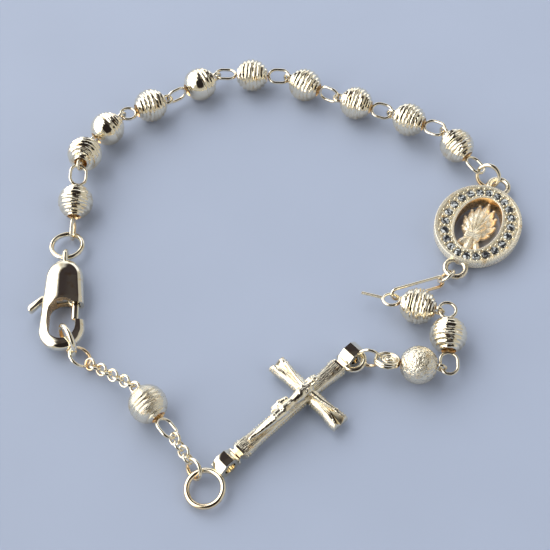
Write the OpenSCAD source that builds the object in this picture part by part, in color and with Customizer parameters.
// Rosary bracelet lying closed on a flat surface. Millimetres, +Z up.
// The clasp's bail starts a run of beads and rings that goes once round the wrist and
// ends in the crucifix. A second run goes from the clasp's hook through the short chains.
// Both runs meet at the ring under the crucifix, so the bracelet closes at any size.

/* [Beads] */
// Diameter of each bead
bead_d = 5; // [4.4:0.1:5.6]
// Diameter of the hole through a bead
bead_hole_d = 1.9; // [1.7:0.1:2.1]
// Wall of the hollow bead
bead_wall = 0.3; // [0.25:0.05:0.5]
// Depth of the grooves cut round a bead
groove_depth = 0.1; // [0.06:0.02:0.14]

/* [Eye wires] */
// Diameter of the wire through a bead
wire_d = 0.45; // [0.35:0.05:0.5]
// Length of the open loop at a wire's end
loop_length = 3.5; // [3.3:0.1:3.8]
// Width of that open loop
loop_width = 2.7; // [2.5:0.1:3]
// Outer diameter of the small eye at a wire's end
eye_d = 1.8; // [1.7:0.05:1.9]
// How far a small eye sinks into the bead's hole
eye_inset = 0.4; // [0.3:0.05:0.45]
// Air between two wires that hold each other
link_gap = 0.12; // [0.08:0.02:0.16]

/* [Clasp] */
// Length of the clasp's body without its bail
clasp_length = 13.9; // [13:0.1:15]
// Width of the clasp's body
clasp_width = 6.1; // [5.8:0.1:6.6]
// Thickness of the clasp's body
clasp_thickness = 3.2; // [2.9:0.1:3.6]
// Diameter of the lever's pin
pin_d = 0.8; // [0.6:0.05:1]
// Thickness of the lever
lever_thickness = 1; // [0.8:0.1:1.2]
// Outer diameter of the ring in the clasp's bail
clasp_ring_d = 5; // [4.6:0.1:5.6]
// Wire of the rings at the clasp
clasp_ring_wire = 0.7; // [0.6:0.05:0.75]
// Outer diameter of the ring that hangs in the hook
hook_ring_d = 4.7; // [4.6:0.1:5]
// Outer diameter of the thin ring next to it
end_ring_d = 3.5; // [3.3:0.1:3.8]

/* [Chain] */
// Outer diameter of a round chain link
link_d = 1.85; // [1.8:0.05:1.95]
// Wire of a chain link
link_wire = 0.36; // [0.3:0.02:0.38]
// Links between the clasp and the single bead
upper_links = 8; // [5:1:9]
// Links between the single bead and the crucifix
lower_links = 4; // [3:1:6]

/* [Medal] */
// Length of the oval medal
medal_length = 14; // [13:0.5:15]
// Width of the oval medal
medal_width = 12; // [11.5:0.5:13]
// Thickness of the medal
medal_thickness = 2.2; // [2:0.1:2.6]
// Length of the oval window
window_length = 9.6; // [9:0.2:9.8]
// Width of the oval window
window_width = 6.2; // [5.8:0.2:6.6]
// Diameter of a small cut stone
stone_d = 1; // [0.8:0.05:1.05]
// Number of stones round the window
stones = 22; // [16:1:23]
// Outer diameter of the medal's two rings
medal_ring_d = 3.6; // [3.4:0.1:4]
// Thickness of the medal's two rings
medal_ring_wire = 0.8; // [0.7:0.05:0.9]

/* [Crucifix] */
// Distance between the holes of the two bails
cross_length = 22.2; // [21:0.2:24]
// Distance from the upper bail's hole to the middle of the arms
cross_head = 8; // [7.4:0.2:8.6]
// Span of the arms
cross_span = 12; // [11:0.2:13]
// Width of the shaft and the arms
beam_width = 2; // [1.8:0.1:2.3]
// Thickness of the shaft and the arms
beam_thickness = 1.3; // [1.1:0.1:1.5]
// Size across the flats of a bail
bail_size = 3; // [2.8:0.1:3.2]
// Width of a bail along its hole
bail_width = 1.4; // [1.2:0.1:1.5]
// Outer diameter of the large ring under the crucifix
lower_ring_d = 5.3; // [5:0.1:5.8]
// Wire of the rings at the crucifix
cross_ring_wire = 0.75; // [0.65:0.05:0.8]
// Outer diameter of the ring above the crucifix
upper_ring_d = 3.6; // [3.4:0.1:4]

/* [Hidden] */

gold = [0.93, 0.86, 0.68];
stone_color = [0.85, 0.88, 0.9];

// Turns in the round surfaces
ring_facets = 48;
wire_facets = 20;
// A little more than nothing, so that cuts run through their faces
over = 0.05;

// Bead: how far the flat round its hole lies from the middle
bead_flat = sqrt(pow(bead_d / 2, 2) - pow(bead_hole_d / 2, 2));
bead_rest = bead_d / 2;
// Turn from the middle of the bead to each groove
groove_turns = [-56, -41, -27, -13, 2, 16, 30, 44, 57];

// Middle of each kind of loop from the middle of its bead
loop_middle = bead_flat + over + loop_length / 2;
short_middle = bead_flat + over + loop_width / 2;
eye_middle = bead_flat - eye_inset + eye_d / 2;
coil_d = 3.5;
coil_turns = 2;
coil_middle = bead_flat + over + coil_d / 2;

// Where the next wire meets the far end of a loop, halfway across the air between them
function inner_reach(outer_d, wire) = outer_d / 2 - wire - link_gap / 2;
loop_in = [-loop_middle - inner_reach(loop_length, wire_d), 0];
loop_out = -loop_in;
short_in = [-short_middle - inner_reach(loop_width, wire_d), 0];
eye_in = [-eye_middle - inner_reach(eye_d, wire_d), 0];
eye_out = -eye_in;

// The same on the bend of a loop or an eye that lies flat, at a turn from straight on
function loop_bend(turn) = [loop_middle + (loop_length - loop_width) / 2, 0]
    + ring_at(loop_width, wire_d, turn);
function short_bend(turn) = [short_middle, 0] + ring_at(loop_width, wire_d, turn);
function eye_bend(turn) = [eye_middle, 0] + ring_at(eye_d, wire_d, turn);

// The same for a plain ring, at a turn from its middle
function ring_at(outer_d, wire, turn) =
    inner_reach(outer_d, wire) * [cos(turn), sin(turn)];
// A meeting place seen from above once its ring is rolled about X
function rolled(p, roll) = [p[0], p[1] * cos(roll)];
// A ring's own wire, at a turn from its middle, where it goes through a bail.
// The play keeps the bent wire in the middle of the straight hole
bail_play = 0.15;
function wire_at(outer_d, wire, turn) = (outer_d - wire) / 2 * [cos(turn), sin(turn)];

medal_link_d = 3.9;
medal_link_wire = 0.6;
medal_ring_middle = medal_length / 2 + medal_ring_d / 2 - medal_ring_wire;
medal_ring_height = 1.3;
long_loop_length = 8.6;
loop_link_d = 2.9;
coil_roll = 30;
long_loop_width = 2;
coil_link_d = 3.3;
chain_ring_d = 3.1;
chain_ring_wire = 0.5;
link_pitch = 2 * inner_reach(link_d, link_wire);

// Upper run, one row a piece: name, heading, slope, height of its middle,
// where the last piece meets it, and where the next one does
NAME = 0; HEADING = 1; SLOPE = 2; HEIGHT = 3; ENTRY = 4; EXIT = 5;
upper_run = [
    ["clasp_ring", 93, -6, 1.4, wire_at(clasp_ring_d, clasp_ring_wire, 180),
     ring_at(clasp_ring_d, clasp_ring_wire, -20)],
    ["bead_01", 88, 14, bead_rest + 0.05, loop_in, loop_out],
    ["bead_02", 82, -15, bead_rest + 0.65, eye_in, eye_bend(-30)],
    ["bead_03", 46, 7, bead_rest + 0.1, eye_in, eye_out],
    ["bead_04", 30, -4, bead_rest + 0.1, short_in, eye_out],
    ["bead_05", 32, 1, bead_rest, loop_in, eye_out],
    ["bead_06", -3, 0, bead_rest, -loop_bend(30), loop_bend(-15)],
    ["bead_07", -28, 0, bead_rest, eye_in, loop_out],
    ["bead_08", -22, 0, bead_rest, eye_in, loop_out],
    ["bead_09", -28, 5, bead_rest + 0.25, eye_in, loop_out],
    ["bead_10", -52, -8, bead_rest + 0.25, eye_in, loop_out],
    ["medal_link", -38, -15, 1.78, ring_at(medal_link_d, medal_link_wire, 180),
     ring_at(medal_link_d, medal_link_wire, 0)],
    ["medal", -118, 0, 0, [-medal_ring_middle, 0]
     + ring_at(medal_ring_d, medal_ring_wire, 235),
     [medal_ring_middle, 0] + ring_at(medal_ring_d, medal_ring_wire, -20)],
    ["loop_link", -135, 0, 1.3, ring_at(loop_link_d, wire_d, 180),
     ring_at(loop_link_d, wire_d, 0)],
    ["long_loop", -157, 9, 1.65, [-inner_reach(long_loop_length, wire_d), 0],
     [inner_reach(long_loop_length, wire_d), 0]],
    ["bead_11", -19, 5, bead_rest + 0.05, -short_bend(-95), eye_out],
    ["bead_12", -93, -3, bead_rest + 0.15, -short_bend(108), loop_bend(-62)],
    ["bead_13", 171, 0, bead_rest, eye_in, [coil_middle, 0]
     + rolled(ring_at(coil_d, wire_d, -10), coil_roll)],
    ["coil_link", 170, -12, 2.12, ring_at(coil_link_d, wire_d, 180),
     ring_at(coil_link_d, wire_d, 0)],
    ["upper_ring", -165, -7, 1.65, ring_at(upper_ring_d, cross_ring_wire, 180),
     wire_at(upper_ring_d - 2 * bail_play, cross_ring_wire, 20)]
];

// Lower run, from the hook to the ring under the crucifix, the headings
// counted from the line that closes the bracelet
lower_run = [
    ["end_ring", 14, -24, 1.35, ring_at(end_ring_d, wire_d, 180),
     ring_at(end_ring_d, wire_d, 0)],
    ["chain_upper", 14, 14, 0.85, [0, 0], [upper_links * link_pitch, 0]],
    ["bead_14", -4, -5, bead_rest + 0.05, eye_in, loop_out],
    ["chain_lower", -8, -6, 2.05, [0, 0], [lower_links * link_pitch + 0.05, 0]],
    ["chain_ring", -14, -15, 1.45, ring_at(chain_ring_d, chain_ring_wire, 180),
     ring_at(chain_ring_d, chain_ring_wire, 0)]
];
hook_ring_heading = -58;
// Roll of each ring about its own heading, from lying flat
clasp_ring_roll = 0;
medal_link_roll = 60;
loop_link_roll = 55;
long_loop_roll = 120;
coil_link_roll = 105;
upper_ring_roll = 0;
chain_ring_roll = 65;
end_ring_roll = -30;
hook_ring_slope = 0;
hook_ring_turn = -18;
hook_ring_roll = 80;
hook_ring_height = 2.34;
clasp_heading = -87;

function turned(p, turn) = [p[0] * cos(turn) - p[1] * sin(turn),
                            p[0] * sin(turn) + p[1] * cos(turn)];
// Step from where one piece is met to where it meets the next
function flat(p, row) = turned([p[0] * cos(row[SLOPE]), p[1]], row[HEADING]);
function step(row) = flat(row[EXIT] - row[ENTRY], row);
// Meeting point before row i of a run that starts at p
function meet(run, i, p) = i == 0 ? p : meet(run, i - 1, p) + step(run[i - 1]);
function middle(run, i, p) = meet(run, i, p) - flat(run[i][ENTRY], run[i]);
function row_of(run, name) = search([name], run)[0];

// Everything below is measured from the clasp's bail, the start of the upper run
clasp_start = 0.7;
clasp_end = clasp_start + clasp_length;
hook_floor = 1.4;
hook_wall = 1.2;
hook_hole_width = clasp_width - 2 * hook_wall;
hook_hole_end = clasp_end - hook_floor;
// The hook's ring hangs round the bend of the hook, to the side of its lowest point
hook_bend_turn = 24;
hook_bend = hook_hole_width / 2 + hook_wall / 2;
hook_ring_offset = turned([hook_hole_end - hook_hole_width / 2 + hook_bend * cos(hook_bend_turn),
                           hook_bend * sin(hook_bend_turn)], clasp_heading);
lower_offset = hook_ring_offset
    + turned(rolled(ring_at(hook_ring_d, clasp_ring_wire, hook_ring_turn), hook_ring_roll),
             hook_ring_heading);

// Two sides of the triangle that closes the bracelet, with the crucifix as one of them
upper_reach = meet(upper_run, len(upper_run), [0, 0]);
lower_ring_turn = 102;
lower_ring_slope = -9;
lower_ring_reach = [cross_length
    + (lower_ring_d - cross_ring_wire) / 2 * cos(lower_ring_slope), 0];
cross_side = lower_ring_reach + ring_at(lower_ring_d, cross_ring_wire, -lower_ring_turn);
chain_side = meet(lower_run, len(lower_run), [0, 0]);
closing = lower_offset - upper_reach;
closing_turn = acos((pow(norm(cross_side), 2) + pow(norm(closing), 2)
    - pow(norm(chain_side), 2)) / (2 * norm(cross_side) * norm(closing)));
cross_heading = atan2(closing[1], closing[0]) + closing_turn
    - atan2(cross_side[1], cross_side[0]);
chain_line = upper_reach + turned(cross_side, cross_heading) - lower_offset;
chain_heading = atan2(chain_line[1], chain_line[0]) - atan2(chain_side[1], chain_side[0]);
lower_ring_offset = upper_reach + turned(lower_ring_reach, cross_heading);

// The outermost places, so that the origin is the middle of the whole bracelet
tab_x = 8.6;
tab_y = -clasp_width / 2 - 1.65;
medal_row = row_of(upper_run, "medal");
medal_heading = upper_run[medal_row][HEADING];
left_edge = turned([tab_x, tab_y], clasp_heading)[0];
right_edge = middle(upper_run, medal_row, [0, 0])[0]
    + norm([medal_length * cos(medal_heading), medal_width * sin(medal_heading)]) / 2;
top_edge = middle(upper_run, row_of(upper_run, "bead_06"), [0, 0])[1] + bead_d / 2;
bottom_edge = lower_ring_offset[1] - lower_ring_d / 2;
bail_point = -[left_edge + right_edge, top_edge + bottom_edge] / 2;

upper_end = bail_point + upper_reach;
lower_start = bail_point + lower_offset;
hook_ring_middle = bail_point + hook_ring_offset;
lower_ring_middle = bail_point + lower_ring_offset;

// Puts a shape on its row of the upper run
module on_upper(name) {
    i = row_of(upper_run, name);
    row = upper_run[i];
    place = middle(upper_run, i, bail_point);
    translate([place[0], place[1], row[HEIGHT]])
        rotate([0, -row[SLOPE], row[HEADING]]) children();
}

// Puts a shape on its row of the lower run
module on_lower(name) {
    i = row_of(lower_run, name);
    row = lower_run[i];
    place = lower_start + turned(middle(lower_run, i, [0, 0]), chain_heading);
    translate([place[0], place[1], row[HEIGHT]])
        rotate([0, -row[SLOPE], row[HEADING] + chain_heading]) children();
}

// Round ring of wire lying flat
module ring(outer_d, wire) {
    rotate_extrude($fn = ring_facets)
        translate([(outer_d - wire) / 2, 0]) circle(d = wire, $fn = wire_facets);
}

// Long loop of wire lying flat, its length along X
module long_ring(length, width, wire) {
    straight = length - width;
    for (side = [-1, 1]) {
        translate([side * straight / 2, 0, 0]) rotate([0, 0, -90 * side])
            rotate_extrude(angle = 180, $fn = ring_facets)
                translate([(width - wire) / 2, 0]) circle(d = wire, $fn = wire_facets);
        translate([-straight / 2, side * (width - wire) / 2, 0]) rotate([0, 90, 0])
            cylinder(d = wire, h = straight, $fn = wire_facets);
    }
}

// Hollow bead with its hole along X and grooves round it
module bead() {
    color(gold) rotate([0, 90, 0]) rotate_extrude($fn = ring_facets) difference() {
        circle(d = bead_d, $fn = ring_facets);
        circle(d = bead_d - 2 * bead_wall, $fn = ring_facets);
        translate([-bead_d, -bead_d]) square([bead_d, 2 * bead_d]);
        translate([-over, -bead_d]) square([bead_hole_d / 2 + over, 2 * bead_d]);
        for (turn = groove_turns)
            rotate(turn) translate([bead_d / 2, 0]) rotate(45)
                square(groove_depth * sqrt(2), center = true);
    }
}

// Kinds of loop at the end of an eye wire
LOOP = 0; EYE = 1; SHORT = 2; COIL = 3;
function kind_near_end(kind) =
    kind == LOOP ? loop_middle - loop_length / 2 + wire_d / 2 :
    kind == SHORT ? short_middle - loop_width / 2 + wire_d / 2 :
    kind == COIL ? coil_middle - coil_d / 2 + wire_d / 2 : eye_middle - eye_d / 2 + wire_d / 2;

// One end of an eye wire, on the +X side
module wire_end(kind, roll) {
    rotate([0, 90, 0]) cylinder(d = wire_d, h = kind_near_end(kind), $fn = wire_facets);
    rotate([roll, 0, 0]) {
        if (kind == LOOP)
            translate([loop_middle, 0, 0]) long_ring(loop_length, loop_width, wire_d);
        if (kind == EYE) translate([eye_middle, 0, 0]) ring(eye_d, wire_d);
        if (kind == SHORT) translate([short_middle, 0, 0]) ring(loop_width, wire_d);
        if (kind == COIL)
            for (turn = [0:coil_turns - 1])
                translate([coil_middle, 0, (turn - (coil_turns - 1) / 2) * wire_d * 0.8])
                    ring(coil_d, wire_d);
    }
}

// Eye wire through a bead, an end of either kind at each side
module eye_wire(entry_kind, entry_roll, exit_kind, exit_roll) {
    color(gold) union() {
        wire_end(exit_kind, exit_roll);
        rotate([0, 0, 180]) wire_end(entry_kind, entry_roll);
    }
}

// Short chain of round links along X, each a quarter turn from the last
module chain(links) {
    color(gold) for (i = [0:links - 1])
        translate([(i + 0.5) * link_pitch, 0, 0])
            rotate([i % 2 == 0 ? 45 : -45, 0, 0]) ring(link_d, link_wire);
}

// Clasp, lying along X from its bail at the origin to its hook
clasp_bail_d = 2.5;
clasp_bail_wire = 0.7;
hook_thin = 0.56;
hook_hole_start = hook_hole_end - 6;
gate_start = hook_hole_start + 0.6;
gate_length = 2.6;
gate_width = 1;
gate_outside = clasp_width / 2 - 0.85;
lever_gap = 0.1;
tip_gap = 0.15;
pin_gap = 0.05;
// The pin stands beside the top of the hole, on the side of the gate
pin_x = hook_hole_start - 0.75;
pin_y = clasp_width / 2 - 1.75;
lever_eye_d = pin_d + 1.1;
skin_y = gate_outside + lever_gap;

// Solid pillow that the clasp is cut from, thinner at the hook.
// Rows: place of a ball along the clasp, its width and its thickness
module clasp_pillow() {
    hull() for (ball = [[clasp_start + clasp_width * 0.42, clasp_width * 0.88, clasp_thickness],
                        [clasp_start + clasp_width * 0.8, clasp_width, clasp_thickness],
                        [clasp_end - clasp_width / 2, clasp_width,
                         clasp_thickness * hook_thin]])
        translate([ball[0], 0, 0])
            scale([ball[1] / clasp_width, ball[1] / clasp_width, ball[2] / clasp_width])
                sphere(d = clasp_width, $fn = 32);
}

// Slot that the lever swings in
module lever_slot() {
    tall = lever_thickness + 2 * lever_gap;
    foot_y = -clasp_width / 2 - 1;
    translate([0, 0, -tall / 2]) linear_extrude(tall)
        polygon([[pin_x - 1.15, skin_y], [pin_x - 1.15, pin_y],
                 [pin_x - 2.4, foot_y], [pin_x + 1.9, foot_y],
                 [hook_hole_start + 0.2, -hook_hole_width / 4],
                 [gate_start + over, 0], [gate_start + over, skin_y]]);
}

module clasp_shape() {
    half = clasp_thickness / 2;
    color(gold) difference() {
        union() {
            intersection() {
                clasp_pillow();
                translate([clasp_start, -clasp_width, -half])
                    cube([clasp_length, 2 * clasp_width, clasp_thickness]);
            }
            rotate([0, 90, 90]) ring(clasp_bail_d, clasp_bail_wire);
        }
        // Hole of the hook
        translate([0, 0, -half - over]) linear_extrude(clasp_thickness + 2 * over) {
            for (x = [hook_hole_start + hook_hole_width / 2,
                      hook_hole_end - hook_hole_width / 2])
                translate([x, 0]) circle(d = hook_hole_width, $fn = ring_facets);
            translate([hook_hole_start + hook_hole_width / 2, -hook_hole_width / 2])
                square([hook_hole_end - hook_hole_start - hook_hole_width, hook_hole_width]);
        }
        // Mouth that the gate closes
        translate([gate_start, 0, -half - over])
            cube([gate_length, clasp_width, clasp_thickness + 2 * over]);
        lever_slot();
        translate([pin_x, pin_y, -half - over])
            cylinder(d = pin_d, h = clasp_thickness + 2 * over, $fn = ring_facets);
    }
}

// Gate, arm and thumb tab in one flat piece round the pin
module lever_shape() {
    neck_y = -clasp_width / 2 + 0.1;
    color(gold) translate([0, 0, -lever_thickness / 2]) linear_extrude(lever_thickness)
        difference() {
            union() {
                translate([pin_x, pin_y]) circle(d = lever_eye_d, $fn = ring_facets);
                // Gate that closes the mouth
                translate([pin_x, gate_outside - gate_width])
                    square([gate_start + gate_length - tip_gap - pin_x, gate_width]);
                // Arm across the body, and the tab
                polygon([[pin_x - 0.6, pin_y], [pin_x - 0.15, neck_y],
                         [tab_x - 0.9, tab_y + 0.15], [tab_x - 0.5, tab_y],
                         [tab_x, tab_y + 0.1], [tab_x + 0.1, tab_y + 0.5],
                         [pin_x + 1, neck_y], [pin_x + 0.5, pin_y]]);
            }
            translate([pin_x, pin_y]) circle(d = pin_d + 2 * pin_gap, $fn = ring_facets);
        }
}

module on_clasp() {
    translate([bail_point[0], bail_point[1], clasp_thickness / 2])
        rotate([0, 0, clasp_heading]) children();
}

// Oval outline, its length along X
module oval(length, width) {
    scale([length / width, 1]) circle(d = width, $fn = 96);
}

// Place of each stone on the oval halfway between the window and the edge
stone_ring_length = (medal_length + window_length) / 2 - 0.15;
stone_ring_width = (medal_width + window_width) / 2 - 0.15;
function stone_place(i) = [stone_ring_length / 2 * cos((i + 0.5) * 360 / stones),
                           stone_ring_width / 2 * sin((i + 0.5) * 360 / stones)];
stone_depth = 0.7;
seat_gap = 0.04;
rim_width = 0.45;
window_rim = 0.35;
rim_rise = 0.25;

// Leaf shaped lobe of two arcs, from the origin along X
module lobe(length, width) {
    lift = (pow(length, 2) - pow(width, 2)) / (4 * width);
    arc_r = lift + width / 2;
    intersection() {
        translate([length / 2, lift]) circle(r = arc_r, $fn = ring_facets);
        translate([length / 2, -lift]) circle(r = arc_r, $fn = ring_facets);
    }
}

lobe_turns = [0, 24, -24, 50, -50];
// Palmette that stands in the window: a fan of lobes on a band and a foot
module palmette() {
    foot = window_length / 2;
    base_x = foot * 0.35;
    thick = medal_thickness * 0.6;
    translate([0, 0, 0.3]) {
        for (turn = lobe_turns)
            translate([base_x, 0, 0]) rotate([0, 0, 180 + turn])
                linear_extrude(thick - abs(turn) / 100)
                    lobe(foot * (turn == 0 ? 1.42 : 1.05 - abs(turn) / 250),
                         window_width * 0.26);
        translate([base_x - 0.3, -window_width * 0.16, 0])
            cube([0.7, window_width * 0.32, thick + 0.1]);
        for (turn = [-35, 0, 35])
            translate([base_x, 0, 0]) rotate([0, 0, turn])
                linear_extrude(thick - 0.2) lobe(foot * 0.75, window_width * 0.2);
    }
}

module medal_shape() {
    color(gold) difference() {
        union() {
            linear_extrude(medal_thickness - rim_rise)
                oval(medal_length, medal_width);
            // Raised rims at the edge and round the window
            linear_extrude(medal_thickness) difference() {
                oval(medal_length, medal_width);
                oval(medal_length - 2 * rim_width, medal_width - 2 * rim_width);
            }
            linear_extrude(medal_thickness)
                oval(window_length + 2 * window_rim, window_width + 2 * window_rim);
            for (side = [-1, 1])
                translate([side * medal_ring_middle, 0, medal_ring_height])
                    ring(medal_ring_d, medal_ring_wire);
        }
        difference() {
            translate([0, 0, -over]) linear_extrude(medal_thickness + 2 * over)
                oval(window_length, window_width);
            palmette();
        }
        for (i = [0:stones - 1])
            translate([stone_place(i)[0], stone_place(i)[1],
                       medal_thickness - rim_rise - stone_depth])
                cylinder(d = stone_d + 2 * seat_gap, h = stone_depth + rim_rise + over,
                         $fn = 24);
    }
}

// Cut stones: a table, eight facets of the crown and eight below
module stone() {
    crown = stone_depth * 0.4;
    pavilion = stone_depth * 0.55;
    cylinder(d1 = stone_d, d2 = stone_d * 0.6, h = crown, $fn = 8);
    translate([0, 0, -pavilion])
        cylinder(d1 = stone_d * 0.2, d2 = stone_d, h = pavilion, $fn = 8);
}

module stones_shape() {
    color(stone_color) for (i = [0:stones - 1])
        translate([stone_place(i)[0], stone_place(i)[1],
                   medal_thickness - rim_rise - stone_depth * 0.35])
            stone();
}

// Crucifix lying along X, the upper bail's hole at the origin
cross_middle = bail_size / 2;
bail_hole_d = cross_ring_wire + 0.95;
flare = 0.2;
// Half outline of a beam: share of its length, extra half width
beam_flare = [[0, 1], [0.12, 1], [0.24, 0], [0.76, 0], [0.88, 1], [1, 1]];

module beam(length) {
    half = beam_width / 2;
    upper_edge = [for (p = beam_flare) [p[0] * length, half + p[1] * flare]];
    lower_edge = [for (i = [len(beam_flare) - 1:-1:0])
                  [beam_flare[i][0] * length, -half - beam_flare[i][1] * flare]];
    top_step = beam_thickness * 0.3;
    linear_extrude(beam_thickness - top_step) polygon(concat(upper_edge, lower_edge));
    // Narrower upper face
    linear_extrude(beam_thickness)
        translate([top_step, -half + top_step])
            square([length - 2 * top_step, beam_width - 2 * top_step]);
}

module cross_bail() {
    rotate([90, 0, 0]) translate([0, 0, -bail_width / 2])
        rotate([0, 0, 22.5])
            cylinder(d = bail_size / cos(22.5), h = bail_width, $fn = 8);
}

module crucifix_shape() {
    lift = cross_middle - beam_thickness / 2;
    color(gold) difference() {
        union() {
            translate([bail_size * 0.4, 0, lift]) beam(cross_length - bail_size * 0.8);
            translate([cross_head, -cross_span / 2, lift]) rotate([0, 0, 90])
                beam(cross_span);
            for (x = [0, cross_length]) translate([x, 0, cross_middle]) cross_bail();
        }
        for (x = [0, cross_length])
            translate([x, bail_width, cross_middle]) rotate([90, 0, 0])
                cylinder(d = bail_hole_d, h = 2 * bail_width, $fn = ring_facets);
    }
}

// Figure on the cross. Each limb, and last the head: start, end and thickness at either end,
// the places counted along the shaft, across it and above the beam
corpus_limbs = [
    [[0.1, 0, 0.62], [3.1, 0.05, 0.72], 1.5, 1.15],
    [[3.0, 0.05, 0.65], [4.3, 0.15, 0.72], 1.3, 1.4],
    [[4.3, 0.2, 0.62], [6.2, 0.4, 0.95], 1.1, 0.95],
    [[6.2, 0.4, 0.95], [9.0, 0.05, 0.42], 0.95, 0.62],
    [[9.0, 0.05, 0.42], [9.8, -0.1, 0.35], 0.62, 0.5],
    [[0.3, 0.4, 0.55], [-0.35, 4.4, 0.32], 0.75, 0.5],
    [[0.3, -0.4, 0.55], [-0.35, -4.4, 0.32], 0.75, 0.5],
    [[-1.0, 0.2, 1.05], [-0.5, 0.3, 1.0], 1.3, 0.85]
];
corpus_scale = cross_length / 21.8;

module corpus_shape() {
    top = cross_middle + beam_thickness / 2;
    color(gold) translate([cross_head - 0.2, 0, top]) difference() {
        scale(corpus_scale) {
            for (limb = corpus_limbs) hull() {
                translate(limb[0]) sphere(d = limb[2], $fn = 14);
                translate(limb[1]) sphere(d = limb[3], $fn = 14);
            }
        }
        // Flat back that lies on the cross
        translate([-cross_length, -cross_span, -5 + 0.02])
            cube([2 * cross_length, 2 * cross_span, 5]);
    }
}

// Eye wires, one row a bead: entry kind and roll, exit kind and roll
wire_kinds = [
    [LOOP, 90, LOOP, 20], [EYE, 100, EYE, 0], [EYE, 90, EYE, 90], [SHORT, 0, EYE, 10],
    [LOOP, 90, EYE, 90], [LOOP, 10, LOOP, 15], [EYE, 100, LOOP, 80], [EYE, 0, LOOP, 15],
    [EYE, 100, LOOP, 10], [EYE, 100, LOOP, -20], [SHORT, 15, EYE, 90], [SHORT, 0, LOOP, 0],
    [EYE, 90, COIL, coil_roll], [EYE, -45, LOOP, -35]
];
wire_tail = 3;

module bead_wire(i) {
    kinds = wire_kinds[i - 1];
    eye_wire(kinds[0], kinds[1], kinds[2], kinds[3]);
}

// Cut end of the wire that stands out past the short loop
module tail() {
    color(gold) translate([-short_middle - loop_width / 2 + wire_d / 2, 0, 0])
        rotate([0, -90, 0]) cylinder(d = wire_d, h = wire_tail, $fn = wire_facets);
}

module clasp_body() { on_clasp() clasp_shape(); }
module clasp_lever() { on_clasp() lever_shape(); }
module clasp_pin() {
    color(gold) on_clasp() translate([pin_x, pin_y, -clasp_thickness / 2 + 0.3])
        cylinder(d = pin_d, h = clasp_thickness - 0.6, $fn = ring_facets);
}
module clasp_ring() {
    color(gold) on_upper("clasp_ring") rotate([clasp_ring_roll, 0, 0])
        ring(clasp_ring_d, clasp_ring_wire);
}
module hook_ring() {
    color(gold) translate([hook_ring_middle[0], hook_ring_middle[1], hook_ring_height])
        rotate([0, -hook_ring_slope, hook_ring_heading]) rotate([hook_ring_roll, 0, 0])
            ring(hook_ring_d, clasp_ring_wire);
}
module end_ring() {
    color(gold) on_lower("end_ring") rotate([end_ring_roll, 0, 0]) ring(end_ring_d, wire_d);
}
module chain_upper() { on_lower("chain_upper") chain(upper_links); }
module chain_lower() { on_lower("chain_lower") chain(lower_links); }
module chain_ring() {
    color(gold) on_lower("chain_ring") rotate([chain_ring_roll, 0, 0]) ring(chain_ring_d, chain_ring_wire);
}
module lower_ring() {
    drop = (lower_ring_d - cross_ring_wire) / 2 * sin(lower_ring_slope);
    color(gold) translate([lower_ring_middle[0], lower_ring_middle[1], cross_middle + drop])
        rotate([0, -lower_ring_slope, cross_heading]) ring(lower_ring_d, cross_ring_wire);
}
module upper_ring() {
    color(gold) on_upper("upper_ring") rotate([upper_ring_roll, 0, 0])
        ring(upper_ring_d, cross_ring_wire);
}
module crucifix() {
    translate([upper_end[0], upper_end[1], 0]) rotate([0, 0, cross_heading])
        crucifix_shape();
}
module corpus() {
    translate([upper_end[0], upper_end[1], 0]) rotate([0, 0, cross_heading])
        corpus_shape();
}
module coil_link() {
    color(gold) on_upper("coil_link") rotate([coil_link_roll, 0, 0]) ring(coil_link_d, wire_d);
}
module loop_link() {
    color(gold) on_upper("loop_link") rotate([loop_link_roll, 0, 0]) ring(loop_link_d, wire_d);
}
module long_loop() {
    color(gold) on_upper("long_loop") rotate([long_loop_roll, 0, 0])
        long_ring(long_loop_length, long_loop_width, wire_d);
}
module medal_link() {
    color(gold) on_upper("medal_link") rotate([medal_link_roll, 0, 0])
        ring(medal_link_d, medal_link_wire);
}
module medal() { on_upper("medal") medal_shape(); }
module medal_stones() { on_upper("medal") stones_shape(); }

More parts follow.
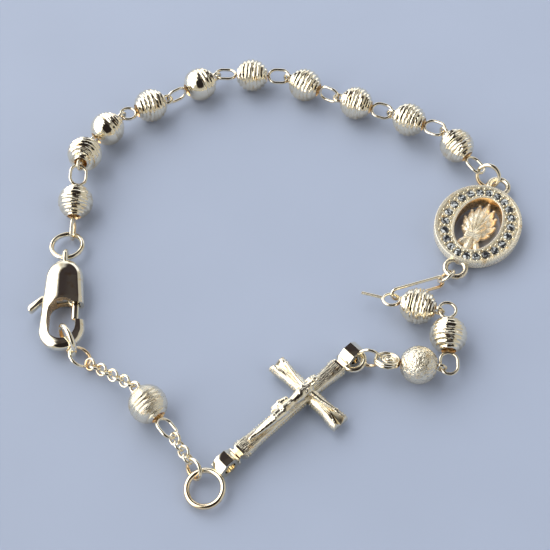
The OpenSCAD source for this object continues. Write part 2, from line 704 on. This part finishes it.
module bead_01() { on_upper("bead_01") bead(); }
module bead_02() { on_upper("bead_02") bead(); }
module bead_03() { on_upper("bead_03") bead(); }
module bead_04() { on_upper("bead_04") bead(); }
module bead_05() { on_upper("bead_05") bead(); }
module bead_06() { on_upper("bead_06") bead(); }
module bead_07() { on_upper("bead_07") bead(); }
module bead_08() { on_upper("bead_08") bead(); }
module bead_09() { on_upper("bead_09") bead(); }
module bead_10() { on_upper("bead_10") bead(); }
module bead_11() { on_upper("bead_11") bead(); }
module bead_12() { on_upper("bead_12") bead(); }
module bead_13() { on_upper("bead_13") bead(); }
module bead_14() { on_lower("bead_14") bead(); }
module bead_wire_01() { on_upper("bead_01") bead_wire(1); }
module bead_wire_02() { on_upper("bead_02") bead_wire(2); }
module bead_wire_03() { on_upper("bead_03") bead_wire(3); }
module bead_wire_04() { on_upper("bead_04") bead_wire(4); }
module bead_wire_05() { on_upper("bead_05") bead_wire(5); }
module bead_wire_06() { on_upper("bead_06") bead_wire(6); }
module bead_wire_07() { on_upper("bead_07") bead_wire(7); }
module bead_wire_08() { on_upper("bead_08") bead_wire(8); }
module bead_wire_09() { on_upper("bead_09") bead_wire(9); }
module bead_wire_10() { on_upper("bead_10") bead_wire(10); }
module bead_wire_11() { on_upper("bead_11") union() { bead_wire(11); tail(); } }
module bead_wire_12() { on_upper("bead_12") bead_wire(12); }
module bead_wire_13() { on_upper("bead_13") bead_wire(13); }
module bead_wire_14() { on_lower("bead_14") bead_wire(14); }

clasp_body();
clasp_lever();
clasp_pin();
clasp_ring();
hook_ring();
end_ring();
chain_upper();
chain_lower();
chain_ring();
lower_ring();
upper_ring();
crucifix();
corpus();
coil_link();
loop_link();
long_loop();
medal_link();
medal();
medal_stones();
bead_01();
bead_02();
bead_03();
bead_04();
bead_05();
bead_06();
bead_07();
bead_08();
bead_09();
bead_10();
bead_11();
bead_12();
bead_13();
bead_14();
bead_wire_01();
bead_wire_02();
bead_wire_03();
bead_wire_04();
bead_wire_05();
bead_wire_06();
bead_wire_07();
bead_wire_08();
bead_wire_09();
bead_wire_10();
bead_wire_11();
bead_wire_12();
bead_wire_13();
bead_wire_14();
